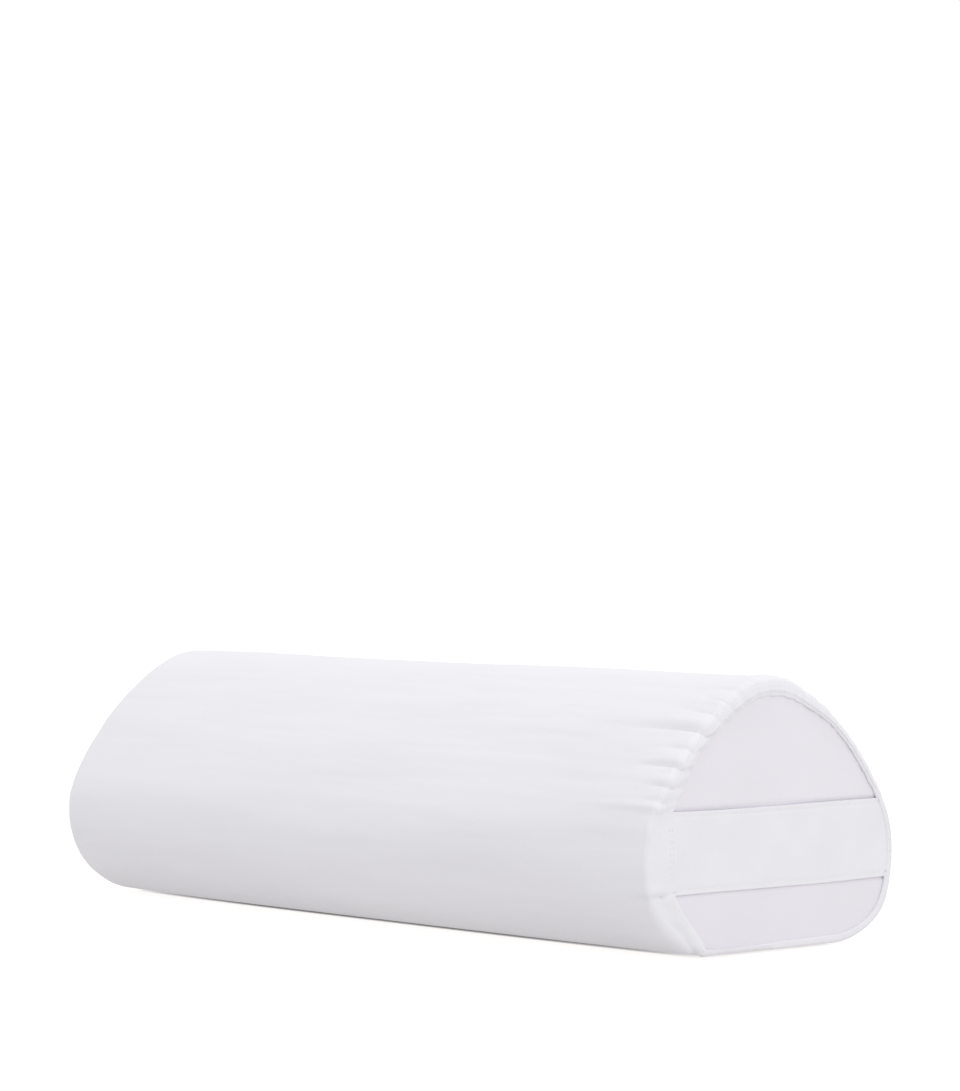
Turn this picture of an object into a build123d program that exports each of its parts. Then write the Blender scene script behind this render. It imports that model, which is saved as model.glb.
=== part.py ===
"""Bolster pillow: a flat-based foam bolster in a zipped casing, inside a fitted cotton cover.

The cover is closed at one end. At the other end its mouth is held over the bolster by three
things: a gathered hem with elastic inside over the arch, a wide flat strap across the end, and
a plain hem under the base. Every piece of cloth is its own shell.

Frame, in millimetres: +X points out of the open end, +Z is up, and the origin is at the centre
of the underside. Left and right are as seen when facing the open end, so right is +Y.
"""

import os
from math import acos, cos, radians, sin

from build123d import *

os.makedirs("parts", exist_ok=True)

# Overall size of the covered bolster
LENGTH = 660.0
WIDTH = 246.0
HEIGHT = 190.0

# Cross-section: a crown arc, a flatter arc down each side, and a base corner arc
CROWN_R = 62.0
CROWN_HALF_ANGLE = radians(28)  # from straight up to where the crown meets the side arc
SIDE_END_ANGLE = radians(62)  # from straight up to where the side arc meets the corner
OPEN_RIM_R = 10.0  # rounding between the long faces and the open end
CLOSED_RIM_R = 12.0

# Cloth and the air left between the layers
COVER_T = 1.5
CASING_T = 1.2
LAYER_GAP = 0.4
FOAM_GAP = 0.3
SEAM_GAP = 0.1  # between two cloth pieces that are sewn edge to edge

# Hems round the mouth of the cover
HEM_T = 3.4
HEM_EDGE_R = 2.0
HEM_INSET = 2.4  # how far the hems' outer edge is inside the long faces
GATHERED_HEM_W = 9.5
SIDE_HEM_Y = 96.0  # inner edge of the flat hems that hold the strap
ELASTIC_W = 5.0
ELASTIC_T = 0.9
CHANNEL_CLEARANCE = 0.2  # round the elastic, on every side
CHANNEL_FOLD_T = 1.2  # cloth between the channel and the hem's folded inner edge

# The strap across the open end
STRAP_LOW = 45.0
STRAP_HIGH = 101.0
STRAP_PLY_T = 0.9
STRAP_INSET = 6.0  # how far its ends stay inside the long faces, within the side hems
STRAP_SLOT_GAP = 0.2

# Mouth below the strap: a chord across each base corner and a low lip along the base
LOWER_HEM_Z = 7.0
LOWER_CORNER_Y = 64.0

# End panels: the seam runs round the rim, this far inside the long faces
COVER_PANEL_INSET = 7.0
CASING_PANEL_INSET = 6.0

# Thread
STITCH_LEN = 2.6
STITCH_PITCH = 4.0
STITCH_T = 0.5
STITCH_PROUD = 0.3
STITCH_MARGIN = 3.0  # from a stitch row to the edge it runs along
CHORD_ROW_SHIFT = 10.0  # sideways from the chord's lower end to the row's
SIDE_ROW_MARGINS = (1.5, 4.5)  # the two upright rows, from the side hem's inner edge
CHANNEL_ROW_INSET = 5.0  # the row that shuts the elastic in, from the long faces

# Zip on the underside of the casing
ZIP_HALF_LEN = 285.0
ZIP_SLOT_HALF_W = 5.0
TAPE_LOW = 3.2
TAPE_T = 0.8
TAPE_INNER_Y = 3.0
TAPE_OUTER_Y = 15.5
TAPE_OVERRUN = 8.0
TOOTH_PITCH = 3.2
TOOTH_T = 1.4
TOOTH_H = 2.4
TOOTH_OVERLAP = 0.9  # how far a tooth reaches past the zip's centre line
SLIDER_LEN = 13.0
SLIDER_HALF_W = 4.6
SLIDER_LOW = 1.6
SLIDER_HIGH = 5.8
SLIDER_PLATE_T = 0.6
SLIDER_WALL_T = 0.7
SLIDER_REST_X = 270.0
WEDGE_LEN = 3.2
WEDGE_W = 2.2
FOAM_RELIEF_Z = 6.9
FOAM_RELIEF_HALF_W = 17.0

HALF_LENGTH = LENGTH / 2
HALF_WIDTH = WIDTH / 2
HEM_FRONT = HALF_LENGTH - STITCH_PROUD
HEM_BACK = HEM_FRONT - HEM_T
CASING_FACE = HEM_BACK - LAYER_GAP
CASING_INSET = COVER_T + LAYER_GAP
CASING_RIM_R = 9.0
FOAM_INSET = CASING_INSET + CASING_T + FOAM_GAP
FAR = 400.0  # past every face of the bolster, for cutting boxes
TOOTH_Z = TAPE_LOW + TAPE_T / 2


def solve_side_and_corner():
    """Radii of the side and corner arcs that make the section WIDTH wide and HEIGHT high."""
    sin_1, cos_1 = sin(CROWN_HALF_ANGLE), cos(CROWN_HALF_ANGLE)
    sin_2, cos_2 = sin(SIDE_END_ANGLE), cos(SIDE_END_ANGLE)
    width_left = HALF_WIDTH - CROWN_R * sin_1
    height_left = HEIGHT - CROWN_R * (1 - cos_1)
    a, b = sin_2 - sin_1, 1 - sin_2
    c, d = cos_1 - cos_2, 1 + cos_2
    det = a * d - b * c
    side_r = (width_left * d - b * height_left) / det
    corner_r = (a * height_left - c * width_left) / det
    return side_r, corner_r


SIDE_R, CORNER_R = solve_side_and_corner()
CROWN_CENTRE = (0.0, HEIGHT - CROWN_R)
SIDE_CENTRE = (
    CROWN_CENTRE[0] + (CROWN_R - SIDE_R) * sin(CROWN_HALF_ANGLE),
    CROWN_CENTRE[1] + (CROWN_R - SIDE_R) * cos(CROWN_HALF_ANGLE),
)
CORNER_CENTRE = (HALF_WIDTH - CORNER_R, CORNER_R)


def on_arc(centre, radius, angle, side=1):
    """Point of an arc. The angle is from straight up, and side -1 mirrors it to the left."""
    return (side * (centre[0] + radius * sin(angle)), centre[1] + radius * cos(angle))


def arc(centre, radius, start, end, side=1):
    middle = (start + end) / 2
    return ThreePointArc(*(on_arc(centre, radius, a, side) for a in (start, middle, end)))


def section(inset):
    """Face across the bolster, with its outline that far inside the cover's outer face."""
    half_turn = radians(180)
    edges = [arc(CROWN_CENTRE, CROWN_R - inset, -CROWN_HALF_ANGLE, CROWN_HALF_ANGLE)]
    for side in (1, -1):
        edges.append(arc(SIDE_CENTRE, SIDE_R - inset, CROWN_HALF_ANGLE, SIDE_END_ANGLE, side))
        edges.append(arc(CORNER_CENTRE, CORNER_R - inset, SIDE_END_ANGLE, half_turn, side))
    edges.append(Line((-CORNER_CENTRE[0], inset), (CORNER_CENTRE[0], inset)))
    return make_face(edges)


def prism(face, x_from, x_to):
    """A face drawn in Y and Z, given length along X."""
    return extrude(Plane.YZ.offset(x_from) * face, x_to - x_from)


def bolster_body(inset, open_face, open_rim):
    """The bolster's rounded solid, inset inside the long faces and the closed end."""
    closed_face = inset - HALF_LENGTH
    solid = prism(section(inset), closed_face, open_face)
    ends = solid.faces().sort_by(Axis.X)
    solid = fillet(ends[0].edges(), CLOSED_RIM_R - inset)
    ends = solid.faces().sort_by(Axis.X)
    return fillet(ends[-1].edges(), open_rim)


def block(x, y, z):
    """A box from three (low, high) pairs."""
    size = [high - low for low, high in (x, y, z)]
    centre = [(high + low) / 2 for low, high in (x, y, z)]
    return Pos(*centre) * Box(*size)


def save(shape, name):
    """Writes one sub-part. A group of separate solids goes in as a list."""
    shape = Compound(children=shape) if isinstance(shape, list) else shape
    export_step(shape, f"parts/{name}.step")


# ---- Inner pillow --------------------------------------------------------------------------


def foam_core():
    """One block of foam. The groove in its base stands for foam that yields to the zip."""
    foam = bolster_body(
        FOAM_INSET, CASING_FACE - CASING_T - FOAM_GAP, CASING_RIM_R - CASING_T - FOAM_GAP
    )
    reach = ZIP_HALF_LEN + TAPE_OVERRUN + 4
    width = (-FOAM_RELIEF_HALF_W, FOAM_RELIEF_HALF_W)
    return foam - block((-reach, reach), width, (0, FOAM_RELIEF_Z))


def casing_pieces():
    """The casing's wrap and its two end panels, parted along the end seams."""
    outside = bolster_body(CASING_INSET, CASING_FACE, CASING_RIM_R)
    inside = bolster_body(
        CASING_INSET + CASING_T, CASING_FACE - CASING_T, CASING_RIM_R - CASING_T
    )
    shell = outside - inside
    panel_area = section(CASING_INSET + CASING_PANEL_INSET)
    wrap_hole = section(CASING_INSET + CASING_PANEL_INSET - SEAM_GAP)
    middle = HALF_LENGTH - CLOSED_RIM_R - CASING_RIM_R
    open_panel = shell & prism(panel_area, middle, FAR)
    closed_panel = shell & prism(panel_area, -FAR, -middle)
    slot = block(
        (-ZIP_HALF_LEN, ZIP_HALF_LEN),
        (-ZIP_SLOT_HALF_W, ZIP_SLOT_HALF_W),
        (0, CASING_INSET + 2 * CASING_T),
    )
    wrap = shell - prism(wrap_hole, -FAR, FAR) - slot
    return wrap, open_panel, closed_panel


# ---- Zip -----------------------------------------------------------------------------------


def zip_tape(side):
    reach = ZIP_HALF_LEN + TAPE_OVERRUN
    y = sorted((side * TAPE_INNER_Y, side * TAPE_OUTER_Y))
    return block((-reach, reach), y, (TAPE_LOW, TAPE_LOW + TAPE_T))


def zip_teeth(side):
    """One row of teeth. The two rows are half a pitch apart, so they interlock."""
    length = TAPE_INNER_Y + TOOTH_OVERLAP
    tooth = Box(TOOTH_T, length, TOOTH_H)
    y = side * (TAPE_INNER_Y - length / 2)
    last = SLIDER_REST_X + SLIDER_LEN / 2 - WEDGE_LEN - SLIDER_WALL_T - TOOTH_T
    shift = 0 if side > 0 else TOOTH_PITCH / 2
    count = int((last + ZIP_HALF_LEN - 2 * TOOTH_PITCH) / TOOTH_PITCH)
    return [Pos(last - shift - i * TOOTH_PITCH, y, TOOTH_Z) * tooth for i in range(count)]


def zip_slider():
    """Two plates joined by the wedge that parts the teeth, with lips that run on the tapes."""
    half = SLIDER_LEN / 2
    x = (SLIDER_REST_X - half, SLIDER_REST_X + half)
    y = (-SLIDER_HALF_W, SLIDER_HALF_W)
    shell = block(x, y, (SLIDER_LOW, SLIDER_HIGH))
    shell = fillet(shell.edges().filter_by(Axis.Z), 2.0)
    inner_y = SLIDER_HALF_W - SLIDER_WALL_T
    plates = (SLIDER_LOW + SLIDER_PLATE_T, SLIDER_HIGH - SLIDER_PLATE_T - 0.2)
    hollow = block((x[0] - 1, x[1] + 1), (-inner_y, inner_y), plates)
    tape_way = block(
        (x[0] - 1, x[1] + 1),
        (y[0] - 1, y[1] + 1),
        (TAPE_LOW - SEAM_GAP, TAPE_LOW + TAPE_T + SEAM_GAP),
    )
    wedge_x = x[1] - SLIDER_WALL_T - WEDGE_LEN / 2
    wedge = Pos(wedge_x, 0, sum(plates) / 2) * Box(
        WEDGE_LEN, WEDGE_W, plates[1] - plates[0]
    )
    wedge = fillet(wedge.edges().filter_by(Axis.Z), 0.8)
    return shell - hollow - tape_way + wedge


def zip_end_stops():
    """A small stop on each tape where the zip is shut, and one across both where it opens."""
    z = (TOOTH_Z - TOOTH_H / 2, TOOTH_Z + TOOTH_H / 2)
    front = SLIDER_REST_X + SLIDER_LEN / 2 + 0.4
    stops = []
    for side in (1, -1):
        y = sorted((side * 1.0, side * (TAPE_INNER_Y - 0.05)))
        stops.append(block((front, front + 3), y, z))
    across = (-TAPE_INNER_Y + 0.05, TAPE_INNER_Y - 0.05)
    stops.append(block((-ZIP_HALF_LEN + 1, -ZIP_HALF_LEN + 4), across, z))
    return stops


# ---- Fitted cover --------------------------------------------------------------------------


def cover_pieces():
    """The cover's wrap, which stops behind the hems, and its closed end panel."""
    outside = bolster_body(0, HEM_FRONT, OPEN_RIM_R)
    inside = bolster_body(COVER_T, HEM_FRONT - COVER_T, OPEN_RIM_R - COVER_T)
    shell = outside - inside
    shell -= block((HEM_BACK - SEAM_GAP, FAR), (-FAR, FAR), (-FAR, FAR))
    end_zone = -HALF_LENGTH + CLOSED_RIM_R
    panel = shell & prism(section(COVER_PANEL_INSET), -FAR, end_zone)
    wrap = shell - prism(section(COVER_PANEL_INSET - SEAM_GAP), -FAR, end_zone)
    return wrap, panel


def rim_plate():
    """The plate that the hems are cut from, rounded where it turns onto the long faces."""
    plate = prism(section(HEM_INSET), HEM_BACK, HEM_FRONT)
    front = plate.faces().sort_by(Axis.X)[-1]
    return fillet(front.edges(), HEM_EDGE_R)


def height_band(low, high):
    return block((HEM_BACK - 50, FAR), (-FAR, FAR), (low, high))


def elastic_band(margin):
    """The band that the elastic fills, grown by a margin on every side."""
    inner = HEM_INSET + GATHERED_HEM_W - CHANNEL_FOLD_T - CHANNEL_CLEARANCE + margin
    outer = inner - ELASTIC_W - 2 * margin
    middle = (HEM_BACK + HEM_FRONT) / 2
    half_t = ELASTIC_T / 2 + margin
    return prism(section(outer) - section(inner), middle - half_t, middle + half_t)


def gathered_hem():
    """The folded casing over the arch, with the channel that the elastic lies in."""
    hem = rim_plate() - prism(section(HEM_INSET + GATHERED_HEM_W), HEM_BACK - 1, FAR)
    hem -= elastic_band(CHANNEL_CLEARANCE)
    return hem & height_band(STRAP_HIGH + SEAM_GAP, FAR)


def hem_elastic():
    return elastic_band(0) & height_band(STRAP_HIGH + 2 * SEAM_GAP, FAR)


def strap_x(ply):
    """Where a ply lies along X. Ply 0 is the backing, and ply 1 is the face."""
    start = (HEM_BACK + HEM_FRONT) / 2 - STRAP_PLY_T - SEAM_GAP / 2
    start += ply * (STRAP_PLY_T + SEAM_GAP)
    return start, start + STRAP_PLY_T


def strap_ply(ply):
    low, high = strap_x(ply)
    return prism(section(STRAP_INSET), low, high) & height_band(STRAP_LOW, STRAP_HIGH)


def side_hem(side):
    """The flat hem that folds round the strap's end, in front of it and behind it."""
    y = sorted((side * SIDE_HEM_Y, side * FAR))
    zone = block((HEM_BACK - 1, FAR), y, (STRAP_LOW, STRAP_HIGH))
    slot = prism(
        section(STRAP_INSET - STRAP_SLOT_GAP),
        strap_x(0)[0] - STRAP_SLOT_GAP / 2,
        strap_x(1)[1] + STRAP_SLOT_GAP / 2,
    )
    return (rim_plate() & zone) - slot


def lower_hem():
    """The plain hem below the strap, straight across each base corner and low on the base."""
    mouth = Polygon(
        (-SIDE_HEM_Y, STRAP_LOW),
        (-LOWER_CORNER_Y, LOWER_HEM_Z),
        (LOWER_CORNER_Y, LOWER_HEM_Z),
        (SIDE_HEM_Y, STRAP_LOW),
        align=None,
    )
    mouth = fillet(mouth.vertices().group_by(Axis.Y)[0], 12)
    hem = rim_plate() & height_band(-1, STRAP_LOW - SEAM_GAP)
    return hem - prism(mouth, HEM_BACK - 1, FAR)


# ---- Thread --------------------------------------------------------------------------------


def stitch_row(path, face_x):
    """Separate stitches along a path drawn in Y and Z, lying on a face at that X."""
    path = Plane.YZ.offset(face_x + STITCH_PROUD / 2) * path
    count = int(path.length / STITCH_PITCH)
    row = []
    for i in range(count):
        share = (i + 0.5) / count
        along = path.tangent_at(share)
        place = Plane(path.position_at(share), x_dir=along, z_dir=(1, 0, 0))
        row.append(place * Box(STITCH_LEN, STITCH_T, STITCH_PROUD))
    return row


def arch_angle(height, inset):
    """Where the side arc, moved in by inset, is at that height."""
    return acos((height - SIDE_CENTRE[1]) / (SIDE_R - inset))


def hem_stitching():
    """The row that closes the elastic's channel, from one end of the strap to the other."""
    radius = CROWN_R - CHANNEL_ROW_INSET
    low = arch_angle(STRAP_HIGH + STITCH_MARGIN, CHANNEL_ROW_INSET)
    crown = arc(CROWN_CENTRE, radius, -CROWN_HALF_ANGLE, CROWN_HALF_ANGLE)
    row = stitch_row(crown, HEM_FRONT)
    radius = SIDE_R - CHANNEL_ROW_INSET
    for side in (1, -1):
        flank = arc(SIDE_CENTRE, radius, CROWN_HALF_ANGLE, low, side)
        row += stitch_row(flank, HEM_FRONT)
    return row


def side_hem_stitching():
    """Two upright rows on each side hem, which hold the strap's ends."""
    low, high = STRAP_LOW + STITCH_MARGIN, STRAP_HIGH - STITCH_MARGIN
    row = []
    for side in (1, -1):
        for margin in SIDE_ROW_MARGINS:
            y = side * (SIDE_HEM_Y + margin)
            row += stitch_row(Line((y, low), (y, high)), HEM_FRONT)
    return row


def strap_stitching():
    """A row along each long edge of the strap, which joins its two plies."""
    reach = SIDE_HEM_Y - STITCH_MARGIN
    row = []
    for z in (STRAP_LOW + STITCH_MARGIN, STRAP_HIGH - STITCH_MARGIN):
        row += stitch_row(Line((-reach, z), (reach, z)), strap_x(1)[1])
    return row


def lower_hem_stitching():
    """The row up each corner chord. The low lip is too narrow for one on its face."""
    rise = STRAP_LOW - LOWER_HEM_Z
    run = SIDE_HEM_Y - LOWER_CORNER_Y
    row = []
    for side in (1, -1):
        start = (side * (LOWER_CORNER_Y + CHORD_ROW_SHIFT), LOWER_HEM_Z + 2 * STITCH_MARGIN)
        share = 1 - (STITCH_MARGIN * 3) / rise
        end = (start[0] + side * share * run, start[1] + share * rise)
        row += stitch_row(Line(start, end), HEM_FRONT)
    return row


casing_wrap, casing_open_panel, casing_closed_panel = casing_pieces()
cover_wrap, cover_closed_panel = cover_pieces()

save(foam_core(), "foam_core")
save(casing_wrap, "casing_wrap")
save(casing_open_panel, "casing_open_end_panel")
save(casing_closed_panel, "casing_closed_end_panel")
save(zip_tape(-1), "zip_tape_left")
save(zip_tape(1), "zip_tape_right")
save(zip_teeth(-1), "zip_teeth_left")
save(zip_teeth(1), "zip_teeth_right")
save(zip_slider(), "zip_slider")
save(zip_end_stops(), "zip_end_stops")
save(cover_wrap, "cover_wrap")
save(cover_closed_panel, "cover_closed_end_panel")
save(gathered_hem(), "gathered_hem")
save(hem_elastic(), "hem_elastic")
save(side_hem(-1), "side_hem_left")
save(side_hem(1), "side_hem_right")
save(strap_ply(0), "strap_backing")
save(strap_ply(1), "strap_face")
save(lower_hem(), "lower_hem")
save(hem_stitching(), "hem_stitching")
save(side_hem_stitching(), "side_hem_stitching")
save(strap_stitching(), "strap_stitching")
save(lower_hem_stitching(), "lower_hem_stitching")
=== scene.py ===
"""Looks of the bolster pillow: its cloth, thread and stage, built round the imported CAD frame.

Metres, in the CAD model's frame. The cover is one grid of points, walked round the bolster by
column and from the closed end to the mouth by row. Cloth simulation gathers its open end, and
the grid is then cut into the same pieces as the CAD model: wrap, end panel and four hems.
"""

from math import pi, radians

import bpy
import numpy as np
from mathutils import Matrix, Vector


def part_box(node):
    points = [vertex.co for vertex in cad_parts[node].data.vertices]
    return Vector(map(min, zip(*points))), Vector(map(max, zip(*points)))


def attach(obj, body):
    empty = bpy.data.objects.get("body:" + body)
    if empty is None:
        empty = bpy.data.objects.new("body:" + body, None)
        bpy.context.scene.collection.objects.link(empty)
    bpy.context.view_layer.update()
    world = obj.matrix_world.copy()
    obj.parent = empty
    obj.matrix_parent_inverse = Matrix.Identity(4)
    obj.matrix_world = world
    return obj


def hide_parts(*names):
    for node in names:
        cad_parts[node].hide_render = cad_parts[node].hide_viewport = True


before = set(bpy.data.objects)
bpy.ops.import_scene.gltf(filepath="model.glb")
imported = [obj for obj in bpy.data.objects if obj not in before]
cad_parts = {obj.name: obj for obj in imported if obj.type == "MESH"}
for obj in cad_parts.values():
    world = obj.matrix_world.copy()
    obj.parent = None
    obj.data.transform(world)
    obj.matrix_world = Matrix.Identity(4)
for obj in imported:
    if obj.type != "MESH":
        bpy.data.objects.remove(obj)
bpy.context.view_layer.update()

MM = 0.001

# Sizes read from the frame
WRAP_LOW, WRAP_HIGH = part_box("cover_wrap")
STRAP_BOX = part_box("strap_face")
HALF_WIDTH = WRAP_HIGH.y
HEIGHT = WRAP_HIGH.z
HALF_LENGTH = -WRAP_LOW.x  # to the closed end's seam
FACE_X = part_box("lower_hem")[1].x  # outer face of the hems
STRAP_LOW = STRAP_BOX[0].z
STRAP_HIGH = STRAP_BOX[1].z
CASING_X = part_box("casing_open_end_panel")[1].x

# The section's arcs, as in the CAD model; the side and corner radii follow from its size
CROWN_R = 62 * MM
CROWN_HALF_ANGLE = radians(28)
SIDE_END_ANGLE = radians(62)

CLOSED_RIM_R = 12 * MM
PANEL_INSET = 7 * MM  # the closed end's seam, inside the long faces
SETTLE_LIFT = 1.5 * MM  # of the base's ends

# The mouth below the strap: beside the strap's left end, and the lip along the base
LEFT_HEM_Y = 95 * MM
LIP_Z = 3.8 * MM
LIP_CORNER_Y = 64 * MM

# Grid spacing round the section: over the arch, and below the strap's top
ARCH_STEP = 1.6 * MM
BASE_STEP = 2.6 * MM

# Thickness of the cloth
COVER_T = 1.0 * MM
HEM_T = 2.3 * MM
CASING_T = 1.0 * MM

# The elastic in the gathered hem, in mm: from the mouth's edge, and below the cloth's surface
ELASTIC_EDGES = (3.2, 8.2)
ELASTIC_DEPTHS = (1.0, 1.9)

# Stitches, and how far each row is from the mouth's edge, in mm
STITCH_PITCH = 4 * MM
STITCH_LEN = 2.6 * MM
THREAD_R = 0.18 * MM
LEFT_SIDE_ROWS = (1.5, 4.5)
RIGHT_SIDE_ROWS = (1.0, 2.6)
GATHERED_ROW = 9.5
LOWER_ROW = 3

# Cloth simulation of the gathers
SIM_FRAMES = 20
SIM_START_X = 0.15  # only the cloth nearer the mouth than this is simulated
SIM_FULLNESS = 1.3  # it is cut for folds this many times as high as those it starts with
SIM_GAP = 1.0 * MM  # that the cloth keeps from the collider
COLLIDER_SKIN = 0.3 * MM
COLLIDER_DEPTH = 1.6 * MM  # more than the gap and the skin together, so that folds can sink
MAX_MOVE = 3 * MM

rng = np.random.default_rng(26)


# ---- Noise and small helpers ---------------------------------------------------------------


def smooth_step(x, low, high):
    x = np.clip((x - low) / (high - low), 0, 1)
    return x * x * (3 - 2 * x)


def bell(x, width):
    return np.exp(-((x / width) ** 2))


def lattice_noise(u, v, seed):
    """Smooth noise from -1 to 1, with one random value at each whole number of u and v."""
    table = np.random.default_rng(seed).uniform(-1, 1, (256, 256))
    iu, iv = np.floor(u).astype(int), np.floor(v).astype(int)
    fu, fv = u - iu, v - iv
    fu, fv = fu * fu * (3 - 2 * fu), fv * fv * (3 - 2 * fv)
    a = table[iu % 256, iv % 256] * (1 - fu) + table[(iu + 1) % 256, iv % 256] * fu
    b = table[iu % 256, (iv + 1) % 256] * (1 - fu) + table[(iu + 1) % 256, (iv + 1) % 256] * fu
    return a * (1 - fv) + b * fv


# ---- Section -------------------------------------------------------------------------------


def solve_side_and_corner():
    """Radii of the side and corner arcs that make the section's width and height."""
    sin_1, cos_1 = np.sin(CROWN_HALF_ANGLE), np.cos(CROWN_HALF_ANGLE)
    sin_2, cos_2 = np.sin(SIDE_END_ANGLE), np.cos(SIDE_END_ANGLE)
    reach = [[sin_2 - sin_1, 1 - sin_2], [cos_1 - cos_2, 1 + cos_2]]
    beyond_crown = [HALF_WIDTH - CROWN_R * sin_1, HEIGHT - CROWN_R * (1 - cos_1)]
    return np.linalg.solve(reach, beyond_crown)


SIDE_R, CORNER_R = solve_side_and_corner()
CORNER_Y = HALF_WIDTH - CORNER_R
CROWN_END = CROWN_R * CROWN_HALF_ANGLE
SIDE_END = CROWN_END + SIDE_R * (SIDE_END_ANGLE - CROWN_HALF_ANGLE)
CORNER_END = SIDE_END + CORNER_R * (pi - SIDE_END_ANGLE)
HALF_ROUND = CORNER_END + CORNER_Y  # from the crown down to the middle of the base


def outline(t):
    """Point (y, z) and outward normal, a distance t round from the crown, right side positive."""
    t = np.asarray(t, float)
    side = np.where(t < 0, -1.0, 1.0)
    a = np.abs(t)
    angle = np.select(
        [a < CROWN_END, a < SIDE_END, a < CORNER_END],
        [
            a / CROWN_R,
            CROWN_HALF_ANGLE + (a - CROWN_END) / SIDE_R,
            SIDE_END_ANGLE + (a - SIDE_END) / CORNER_R,
        ],
        pi,
    )
    shift = CROWN_R - SIDE_R
    side_y = shift * np.sin(CROWN_HALF_ANGLE)
    side_z = HEIGHT - CROWN_R + shift * np.cos(CROWN_HALF_ANGLE)
    on_crown, on_side = a < CROWN_END, a < SIDE_END
    centre_y = np.where(on_crown, 0, np.where(on_side, side_y, CORNER_Y))
    centre_z = np.where(on_crown, HEIGHT - CROWN_R, np.where(on_side, side_z, CORNER_R))
    radius = np.where(on_crown, CROWN_R, np.where(on_side, SIDE_R, CORNER_R))
    normal = np.stack([side * np.sin(angle), np.cos(angle)], -1)
    y = side * (centre_y + radius * np.sin(angle) - np.maximum(a - CORNER_END, 0))
    z = centre_z + radius * np.cos(angle)
    return np.stack([y, z], -1), normal


def round_at_height(z, inset=0.0):
    """Distance round from the crown to where the outline, moved in by inset, is at height z."""
    t = np.linspace(0, CORNER_END, 4000)
    point, normal = outline(t)
    return float(np.interp(-z, -(point[:, 1] - inset * normal[:, 1]), t))


STRAP_TOP_T = round_at_height(STRAP_HIGH)
STRAP_BOTTOM_T = round_at_height(STRAP_LOW)
LIP_T = CORNER_END - 4 * MM  # where the lip along the base starts

# Puckers up the left side, from the strap's end, in mm: height of each tuck on the rim, its
# depth, how far back from the rim it runs, and the height of the ridge below it
LEFT_TUCKS = (
    (109, 0.5, 26, 0.3),
    (118.5, 1.2, 14, 0.5),
    (131, 1.7, 44, 0.6),
    (142.5, 1.3, 12, 0.7),
    (154, 2.0, 80, 0.5),
    (165.5, 1.1, 30, 0.7),
    (173.5, 1.7, 20, 0.4),
)


def pucker_layout():
    """Tucks round the arch: place, depth and length, and the height of the ridge before each."""
    rows = [(-STRAP_TOP_T, 0.0, 10 * MM, 0.0)]
    for z, depth, length, ridge in LEFT_TUCKS:
        rows.append((-round_at_height(z * MM), depth * MM, length * MM, ridge * MM))
    while rows[-1][0] < STRAP_TOP_T - 16 * MM:
        step = rng.uniform(7, 19) * MM
        depth, ridge = rng.uniform(0.2, 1.0) * MM, rng.uniform(0.1, 0.6) * MM
        rows.append((rows[-1][0] + step, depth, rng.uniform(8, 34) * MM, ridge))
    rows.append((STRAP_TOP_T, 0.0, 10 * MM, 0.6 * MM))
    return np.array(rows).T


TUCKS, TUCK_DEPTHS, TUCK_LENGTHS, RIDGES = pucker_layout()

# How far the mouth is inside the long faces, in mm, at shares of the way round from the left
# end of the strap to its right end. The elastic draws it in unevenly, and the whole cover sits
# a little askew, so that its right edge shows less of the end than its left.
SCALLOP = 1.6 * MM  # at the deepest tuck
MOUTH_SHARES = (-1, -0.84, -0.62, -0.3, 0.0, 0.14, 0.3, 0.48, 0.62, 0.82, 1)
MOUTH_INSETS = (15.5, 12, 9.5, 10.7, 13, 12, 9.5, 6.0, 5.5, 5.5, 4.5)
RIGHT_INSETS = (4.5, 5.5, 5.5, 5.0, LIP_Z / MM)


def mouth_inset(t):
    """How far inside the long faces the mouth is, over the arch and all down the right side."""
    a = np.abs(t)
    arch = np.interp(t / STRAP_TOP_T, MOUTH_SHARES, MOUTH_INSETS) * MM
    between = np.abs(np.sin(pi * np.interp(t, TUCKS, np.arange(len(TUCKS)))))
    arch = arch + SCALLOP * (between - 0.5) * np.interp(t, TUCKS, TUCK_DEPTHS / TUCK_DEPTHS.max())
    knots = [STRAP_TOP_T, STRAP_BOTTOM_T, CORNER_END - 30 * MM, CORNER_END, HALF_ROUND]
    return np.where(a < STRAP_TOP_T, arch, np.interp(a, knots, RIGHT_INSETS) * MM)


def mouth_edge(t):
    """Where column t's cloth ends on the open end's face, as (y, z)."""
    a = np.abs(t)
    inset = mouth_inset(t)
    inner_top = round_at_height(STRAP_HIGH, MOUTH_INSETS[0] * MM)
    point, normal = outline(t * np.where((t < 0) & (a < STRAP_TOP_T), inner_top / STRAP_TOP_T, 1))
    right = point - inset[:, None] * normal
    # on the left: straight down beside the strap, across the base corner, then a low lip
    fall = smooth_step(a, STRAP_TOP_T, STRAP_TOP_T + 8 * MM)
    end_y = -np.min(right[(t < 0) & (a < STRAP_TOP_T), 0])
    hem_y = end_y * (1 - fall) + LEFT_HEM_Y * fall
    down = 0.5 * smooth_step(a, STRAP_BOTTOM_T, LIP_T)
    down += 0.5 * np.interp(a, [STRAP_BOTTOM_T, LIP_T], [0, 1])
    y = hem_y + (LIP_CORNER_Y - hem_y) * down
    y = np.where(a < LIP_T, y, np.interp(a, [LIP_T, HALF_ROUND], [LIP_CORNER_Y, 0]))
    z = np.interp(a, [STRAP_TOP_T, STRAP_BOTTOM_T, LIP_T], [STRAP_HIGH, STRAP_LOW, LIP_Z])
    on_left = (t < 0) & (a >= STRAP_TOP_T)
    return np.where(on_left[:, None], np.stack([-y, z], -1), right)


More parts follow.
